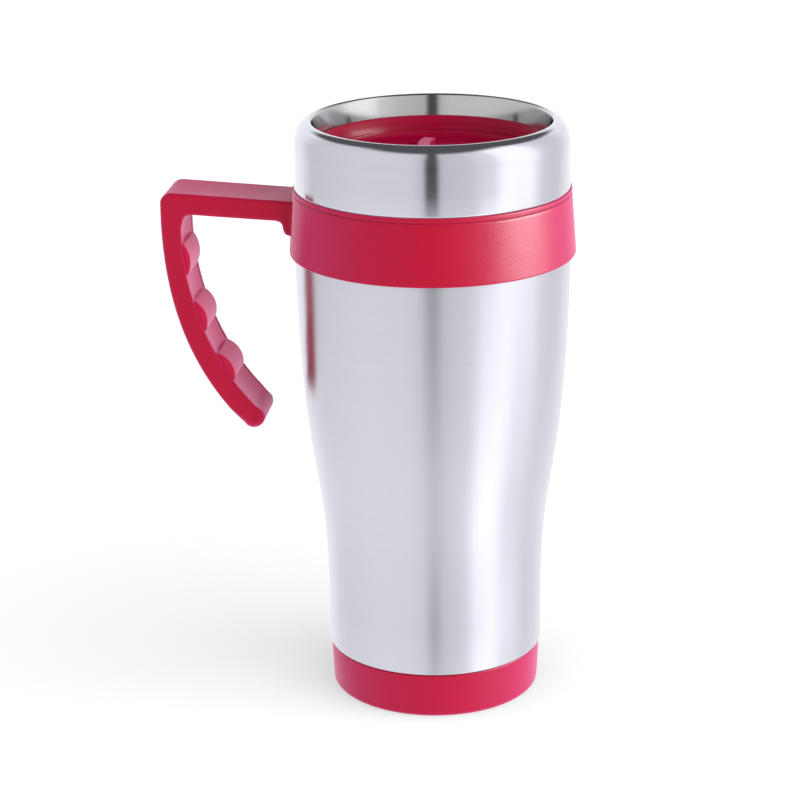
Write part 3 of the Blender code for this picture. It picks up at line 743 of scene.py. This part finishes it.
def make_insert():
    """The grip's strip: hollowed like the grip, with three ridges straight across it."""
    steps = 240
    points = [Vector(bezier_point(GRIP_INNER, step / steps)) for step in range(steps + 1)]
    travelled = 0.0
    spine = []
    for step, point in enumerate(points):
        if step:
            travelled += (point - points[step - 1]).length
        along = (points[min(step + 1, steps)] - points[max(step - 1, 0)]).normalized()
        if INSERT_SPAN[0] <= step / steps <= INSERT_SPAN[1]:
            spine.append((point, Vector((along.y, -along.x)), travelled, step / steps))
    rings = []
    edge = 0.0003
    half = [(INSERT_HALF, edge), (INSERT_HALF - edge * 0.3, edge * 0.3), (INSERT_HALF - edge, 0.0)]
    half += [(INSERT_HALF * step / 8, 0.0) for step in range(7, 0, -1)]
    sides = half + [(0.0, 0.0)] + [(-across, inset) for across, inset in reversed(half)]
    for across, inset in sides:
        front = []
        for point, inward, distance, t in spine:
            hollow = DISH * (1 - (across / HALF_WIDTH) ** 2) * inner_fade(t)
            ridge = ridge_height(distance)
            front.append(point + inward * ((ridge if ridge else -hollow) - inset))
        back = [point - inward * INSERT_DEPTH for point, inward, distance, t in reversed(spine)]
        rings.append([(-spot.x, across, spot.y) for spot in front + back])
    item = loft("finger_strip", rings, soft_red, sharp_degrees=35)
    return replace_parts(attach(item, "mug"), "grip_insert")


# ---- Lid ------------------------------------------------------------------------------------

WELL_FLOOR_Z = 0.1668
FLOOR_UNDERSIDE_Z = 0.1650
WELL_WALL_RADIUS = 0.0319
WELL_MOUTH_RADIUS = 0.0337
WELL_CORNER = 0.0022
FLANGE_FOOT = (0.0339, 0.1708)
SKIRT_RADIUS = 0.0326
SKIRT_INNER_RADIUS = 0.0298
SNAP_RADIUS = 0.0292        # the bead inside the skirt that the underplate snaps over
SNAP_SPAN = (0.1585, 0.1595)
GROOVE_RADIUS = 0.0312      # the groove for the gasket
GROOVE_SPAN = (0.1603, 0.1643)
CUTTER_SPAN = (0.155, 0.175)
DRINK_HOLE_LOW = (0.0195, -0.0028)
DRINK_HOLE_HIGH = (0.0275, 0.0028)
VENT_PLACE = (-0.0080, 0.0200)
VENT_RADIUS = 0.0012
SLOT_LOW = (-0.0137, -0.0042)
SLOT_HIGH = (0.0007, 0.0042)
PLATE_DISC_TOP_Z = 0.1622
RAIL_START_X = -0.0270
RAIL_END_X = 0.0278
RAIL_SIDES = (0.0068, 0.0088)
BLADE_TOP_Z = 0.1647
SEAL_FOOT_Z = 0.1638
TAB_RADIUS = 0.0170         # the hollow side of the thumb tab
TAB_THICKNESS = 0.0037
TAB_HALF = 0.0060
TAB_EDGE = 0.0007


def make_cutter(name, outline):
    """A sharp-edged slab tall enough to cut through the lid."""
    return slab(name, outline, *CUTTER_SPAN, 0.0001, red_plastic)


def holes():
    """Cutters for the drink hole and the vent."""
    vent = arc(VENT_PLACE, (VENT_RADIUS, VENT_RADIUS), 0, -350, 35)
    drink_hole = rounded_rectangle(DRINK_HOLE_LOW, DRINK_HOLE_HIGH, 0.0024)
    return [make_cutter("drink_hole", drink_hole), make_cutter("vent", vent)]


def make_lid_top():
    """The lid: a well with a flange, a skirt with the gasket's groove, and the snap bead inside."""
    corner = (WELL_WALL_RADIUS - WELL_CORNER, WELL_FLOOR_Z + WELL_CORNER)
    points = [(0.0, WELL_FLOOR_Z)] + arc(corner, (WELL_CORNER, WELL_CORNER), -90, 0, 12)
    points += rounded([points[-1], (WELL_MOUTH_RADIUS, LID_TOP.z, 0.0004), (LID_TOP.x, LID_TOP.z, 0.0004),
                       (*FLANGE_FOOT, 0.0003), (SKIRT_RADIUS, FLANGE_FOOT[1], 0.0003),
                       (SKIRT_RADIUS, GROOVE_SPAN[1], 0.0002), (GROOVE_RADIUS, GROOVE_SPAN[1], 0.0002),
                       (GROOVE_RADIUS, GROOVE_SPAN[0], 0.0002), (SKIRT_RADIUS, GROOVE_SPAN[0], 0.0002),
                       (SKIRT_RADIUS, LID_FOOT.z + 0.001, 0.0004),
                       (SKIRT_RADIUS - 0.001, LID_FOOT.z, 0.0004),
                       (SKIRT_INNER_RADIUS, LID_FOOT.z, 0.0004), (SNAP_RADIUS, SNAP_SPAN[0], 0.0003),
                       (SNAP_RADIUS, SNAP_SPAN[1], 0.0003),
                       (SKIRT_INNER_RADIUS, SNAP_SPAN[1] + 0.0004, 0.0001),
                       (SKIRT_INNER_RADIUS, FLOOR_UNDERSIDE_Z, 0.0006), (0.0, FLOOR_UNDERSIDE_Z)])[1:]
    item = turned("lid_cap", points, lid_red, closed=False)
    stem_slot = rounded_rectangle(SLOT_LOW, SLOT_HIGH, 0.0010)
    item = cut(item, holes() + [make_cutter("stem_slot", stem_slot)])
    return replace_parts(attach(item, "lid"), "lid_top")


def make_gasket():
    """The gasket: a ring in the lid's groove with a soft lip at its top and one at its foot."""
    root = SKIRT_RADIUS - 0.0002
    lip_radius = GASKET_TOP.x
    inner = GROOVE_RADIUS + 0.0003
    top = GASKET_TOP.z
    foot = GASKET_FOOT.z
    slope = 0.0003
    lip = 0.0006
    hollow = 0.0013
    profile = [(inner, top, 0.0002), (root, top, 0.0002), (lip_radius, top - slope, 0.0003),
               (lip_radius, top - slope - lip, 0.0003), (root, top - hollow, 0.0003),
               (root, foot + hollow, 0.0003), (lip_radius, foot + slope + lip, 0.0003),
               (lip_radius, foot + slope, 0.0003), (root, foot, 0.0002), (inner, foot, 0.0002)]
    item = turned("seal_ring", rounded(profile, closed=True), milky_silicone)
    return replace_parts(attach(item, "gasket"), "lid_gasket")


def make_underplate():
    """A disc with the lid's holes, and two rails on it that guide the slider."""
    radius = PLATE_TOP.x
    edge = 0.0003
    disc = turned("disc", rounded([(0.0, PLATE_DISC_TOP_Z), (radius, PLATE_DISC_TOP_Z, edge),
                                   (radius, PLATE_FOOT.z, edge), (0.0, PLATE_FOOT.z)]),
                  red_plastic, closed=False)
    pieces = [cut(disc, holes())]
    for side in (-1, 1):
        low, high = sorted(side * across for across in RAIL_SIDES)
        outline = rounded_rectangle((RAIL_START_X, low), (RAIL_END_X, high), 0.0004)
        pieces.append(slab("rail", outline, PLATE_DISC_TOP_Z - 0.0005, PLATE_TOP.z, 0.0002, red_plastic))
    item = join("underplate", pieces)
    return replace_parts(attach(item, "lid"), "lid_underplate")


def make_tab():
    """The thumb tab: an arched wall, hollow towards the drink hole."""
    centre = (TAB_RADIUS - 0.0005, 0.0)
    back = TAB_RADIUS + TAB_THICKNESS
    spread = degrees(asin(TAB_HALF / TAB_RADIUS))
    steps = 24
    front_points = arc(centre, (TAB_RADIUS, TAB_RADIUS), 180 + spread, 180 - spread, steps)
    back_points = arc(centre, (back, back), 180 - spread * 0.86, 180 + spread * 0.86, steps)
    outline = []
    for side in (front_points, back_points):
        outline += [(*side[0], TAB_EDGE), *side[1:-1], (*side[-1], TAB_EDGE)]
    outline = rounded(outline, closed=True)[::-1]
    return slab("tab", outline, WELL_FLOOR_Z + 0.0007, SLIDER_TOP.z, TAB_EDGE, red_plastic)


def make_slider():
    """The blade under the lid, its stem and foot plate, and the thumb tab above."""
    blade_outline = rounded_rectangle((-0.0150, -0.0065), (0.0289, 0.0065), 0.0020)
    stem_outline = rounded_rectangle((-0.0034, -0.0039), (0.0004, 0.0039), 0.0008)
    foot_outline = rounded_rectangle((-0.0146, -0.0070), (0.0036, 0.0070), 0.0020)
    pocket_outline = rounded_rectangle((0.0186, -0.0051), (0.0284, 0.0051), 0.0023)
    foot_z = WELL_FLOOR_Z + 0.0003
    blade = slab("blade", blade_outline, SLIDER_FOOT.z, BLADE_TOP_Z, 0.0003, red_plastic)
    stem = slab("stem", stem_outline, BLADE_TOP_Z - 0.0007, foot_z + 0.0005, 0.0001, red_plastic)
    foot = slab("foot", foot_outline, foot_z, foot_z + 0.0010, 0.0004, red_plastic)
    tab = make_tab()
    pocket_span = (SEAL_FOOT_Z - 0.0003, BLADE_TOP_Z + 0.0013)
    pocket = slab("seal_pocket", pocket_outline, *pocket_span, 0.0001, red_plastic)
    item = join("thumb_slider", [cut(blade, [pocket]), stem, foot, tab])
    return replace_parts(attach(even_shading(item), "slider"), "slider")


def make_seal():
    """The pad in the slider's pocket that shuts the drink hole."""
    outline = rounded_rectangle((0.0189, -0.0048), (0.0281, 0.0048), 0.0020)
    item = slab("seal_pad", outline, SEAL_FOOT_Z, BLADE_TOP_Z, 0.0002, milky_silicone)
    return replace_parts(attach(item, "slider"), "slider_seal")


# ---- Studio ---------------------------------------------------------------------------------

FLOOR_RADIUS = 4.0
TABLE_GLOW = 0.36
# The room as (degrees, level) stops. The degrees run to the right from the front of the mug.
WALL_LEVELS = ((-180, 1.15), (-140, 1.20), (-120, 0.88), (-60, 1.00), (-18, 0.98), (-8, 0.82),
               (-4.2, 0.10), (3.0, 0.10), (7, 0.80), (30, 0.90), (43, 1.06), (52, 1.16), (58, 1.46),
               (65, 1.62), (88, 1.60), (95, 1.36), (103, 1.04), (114, 0.94), (127, 0.92), (145, 1.15),
               (180, 1.15))
TABLE_LEVELS = ((-180, 1.20), (-135, 1.20), (-115, 1.12), (-60, 1.20), (-14, 1.14), (-3, 1.02),
                (3, 1.02), (12, 1.08), (36, 1.18), (46, 1.95), (66, 1.95), (80, 1.22), (110, 1.08),
                (135, 1.20), (180, 1.20))
TABLE_FADE = (17, 26)       # degrees below the horizon over which the walls give way to the table
CEILING_LEVEL = 0.12
CEILING_START = (57, 26)    # degrees above the horizon, in front of and behind the mug
CEILING_BLEND = (100, 155)  # degrees round the mug over which the first gives way to the second
CEILING_SHARPNESS = 8.0     # how quickly the walls give way to the ceiling
ROOM_STRENGTH = 2.0         # colours stop at 1, so the levels are stored as shares of this
SOFTBOX_DISTANCE = 1.0
SOFTBOX_HEIGHT = 0.26
SOFTBOX_SIZE = (0.70, 0.36)


def make_floor_material():
    """A matt, nearly white floor that glows a little, so that it stays as pale as the background."""
    material, nodes, shader, place = new_material("studio_floor")
    cloud = nodes.noise(place, 3.0, 2.0)
    tint = nodes.tinted(cloud, (0.895, 0.895, 0.895), (0.905, 0.905, 0.905))
    nodes.join(tint, shader.inputs["Base Color"])
    shader.inputs["Roughness"].default_value = 0.9
    shader.inputs["Specular IOR Level"].default_value = 0.0
    shader.inputs["Emission Color"].default_value = (1.0, 1.0, 1.0, 1.0)
    shader.inputs["Emission Strength"].default_value = TABLE_GLOW
    return material


def make_floor():
    """A pale floor. What the steel shows of the table comes from the levels round the world."""
    count = 96
    rim = [(FLOOR_RADIUS * cos(2 * pi * step / count), FLOOR_RADIUS * sin(2 * pi * step / count), 0.0)
           for step in range(count)]
    mesh = bpy.data.meshes.new("studio_floor")
    mesh.from_pydata(rim, [], [tuple(range(count))])
    mesh.materials.append(make_floor_material())
    item = bpy.data.objects.new("studio_floor", mesh)
    bpy.context.scene.collection.objects.link(item)
    item.visible_glossy = False


def make_world():
    """White walls and table round the mug: a lamp to the right, a gap behind the camera, a dark ceiling."""
    world = bpy.data.worlds.new("studio")
    bpy.context.scene.world = world
    world.use_nodes = True
    nodes = Nodes(world.node_tree)
    backdrop = world.node_tree.nodes["Background"]
    direction = nodes.add("ShaderNodeTexCoord").outputs["Generated"]

    def along(axis):
        dot = nodes.add("ShaderNodeVectorMath", operation="DOT_PRODUCT")
        nodes.join(direction, dot.inputs[0])
        dot.inputs[1].default_value = axis
        return dot.outputs["Value"]

    def limited(value):
        return nodes.maths("MINIMUM", nodes.maths("MAXIMUM", value, 0.0), 1.0)

    def share_between(value, start, end):
        return limited(nodes.maths("MULTIPLY", nodes.maths("SUBTRACT", value, start), 1 / (end - start)))

    def mixed(share, first):
        mix = nodes.add("ShaderNodeMix", data_type="RGBA")
        nodes.join(share, mix.inputs[0])
        nodes.join(first, mix.inputs[6])
        return mix

    turn = nodes.maths("ARCTAN2", along(CAMERA_RIGHT), along(TOWARDS_CAMERA))
    turn_share = nodes.maths("MULTIPLY_ADD", turn, 0.5 / pi, 0.5)

    def levels_round(levels):
        ramp = nodes.add("ShaderNodeValToRGB")
        nodes.join(turn_share, ramp.inputs[0])
        stops = ramp.color_ramp.elements
        for index, (angle, level) in enumerate(levels):
            place = (angle + 180) / 360
            stop = stops[index] if index < 2 else stops.new(place)
            stop.position = place
            stop.color = (level / ROOM_STRENGTH, level / ROOM_STRENGTH, level / ROOM_STRENGTH, 1.0)
        return ramp.outputs[0]

    height = along((0.0, 0.0, 1.0))
    below = share_between(height, *(-sin(radians(angle)) for angle in TABLE_FADE))
    sides = mixed(below, levels_round(WALL_LEVELS))
    nodes.join(levels_round(TABLE_LEVELS), sides.inputs[7])
    behind = share_between(nodes.maths("COSINE", turn), *(cos(radians(angle)) for angle in CEILING_BLEND))
    front_edge, back_edge = (sin(radians(angle)) for angle in CEILING_START)
    edge = nodes.maths("MULTIPLY_ADD", behind, back_edge - front_edge, front_edge)
    over_edge = nodes.maths("SUBTRACT", height, edge)
    above = limited(nodes.maths("MULTIPLY_ADD", over_edge, CEILING_SHARPNESS, 0.5))
    room = mixed(above, sides.outputs[2])
    ceiling = CEILING_LEVEL / ROOM_STRENGTH
    room.inputs[7].default_value = (ceiling, ceiling, ceiling, 1.0)
    nodes.join(room.outputs[2], backdrop.inputs["Color"])
    backdrop.inputs["Strength"].default_value = ROOM_STRENGTH


def make_lamp(name, energy, tilt, spread):
    """A far, soft lamp that no reflection shows. Its tilt and spread are in degrees."""
    lamp = bpy.data.lights.new(name, "SUN")
    lamp.energy = energy
    lamp.angle = radians(spread)
    item = bpy.data.objects.new(name, lamp)
    item.rotation_euler = [radians(angle) for angle in tilt]
    bpy.context.scene.collection.objects.link(item)
    item.visible_glossy = False


def make_softbox(name, azimuth, radiance, pieces, shines):
    """An upright sheet of light, at an azimuth in degrees to the camera's right.

    It lights some pieces only, and gives them either glow or shine.
    """
    lamp = bpy.data.lights.new(name, "AREA")
    lamp.shape = "RECTANGLE"
    lamp.size = SOFTBOX_SIZE[0]
    lamp.size_y = SOFTBOX_SIZE[1]
    lamp.energy = radiance * pi * SOFTBOX_SIZE[0] * SOFTBOX_SIZE[1]
    item = bpy.data.objects.new(name, lamp)
    angle = radians(azimuth)
    away = TOWARDS_CAMERA * cos(angle) + CAMERA_RIGHT * sin(angle)
    item.location = away * SOFTBOX_DISTANCE + Vector((0.0, 0.0, SOFTBOX_HEIGHT))
    item.rotation_euler = away.to_track_quat("Z", "Y").to_euler()
    bpy.context.scene.collection.objects.link(item)
    item.visible_diffuse = not shines
    item.visible_glossy = shines
    lit = bpy.data.collections.new("lit_by_" + name)
    for piece in pieces:
        lit.objects.link(piece)
    item.light_linking.receiver_collection = lit


def make_camera():
    camera = bpy.data.cameras.new("camera")
    camera.lens = CAMERA_LENS
    camera.sensor_width = 36.0
    camera.clip_start = 0.01
    camera.clip_end = 50.0
    item = bpy.data.objects.new("camera", camera)
    item.location = CAMERA_PLACE
    item.rotation_euler = [radians(angle) for angle in CAMERA_TILT]
    bpy.context.scene.collection.objects.link(item)
    bpy.context.scene.camera = item


# ---- Build ----------------------------------------------------------------------------------

plastic_pieces = []
for piece, slot_name in ((make_outer_shell(), "brushed_steel"), (make_collar(), "polished_steel"),
                         (make_liner(), "brushed_steel"), (make_base_cap(), "red_plastic"),
                         (make_pad(), "black_rubber"), (make_handle(), "red_plastic"),
                         (make_insert(), "grip_plastic"), (make_lid_top(), "red_plastic"),
                         (make_gasket(), "silicone"), (make_underplate(), "red_plastic"),
                         (make_slider(), "red_plastic"), (make_seal(), "silicone")):
    if slot_name in ("red_plastic", "grip_plastic"):
        plastic_pieces.append(piece)

# The welded bottom is hidden inside the mug, so the CAD's own mesh serves.
shell_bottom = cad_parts["shell_bottom"].data
shell_bottom.materials.clear()
shell_bottom.materials.append(liner_steel)

make_floor()
make_world()
make_softbox("key_light", 34, 7.0, plastic_pieces, shines=False)
make_softbox("softbox", 76, 68.0, plastic_pieces, shines=True)
make_lamp("top_light", 0.7, (18, 28, 0), 60)
make_camera()
bpy.context.scene.view_settings.view_transform = "Standard"
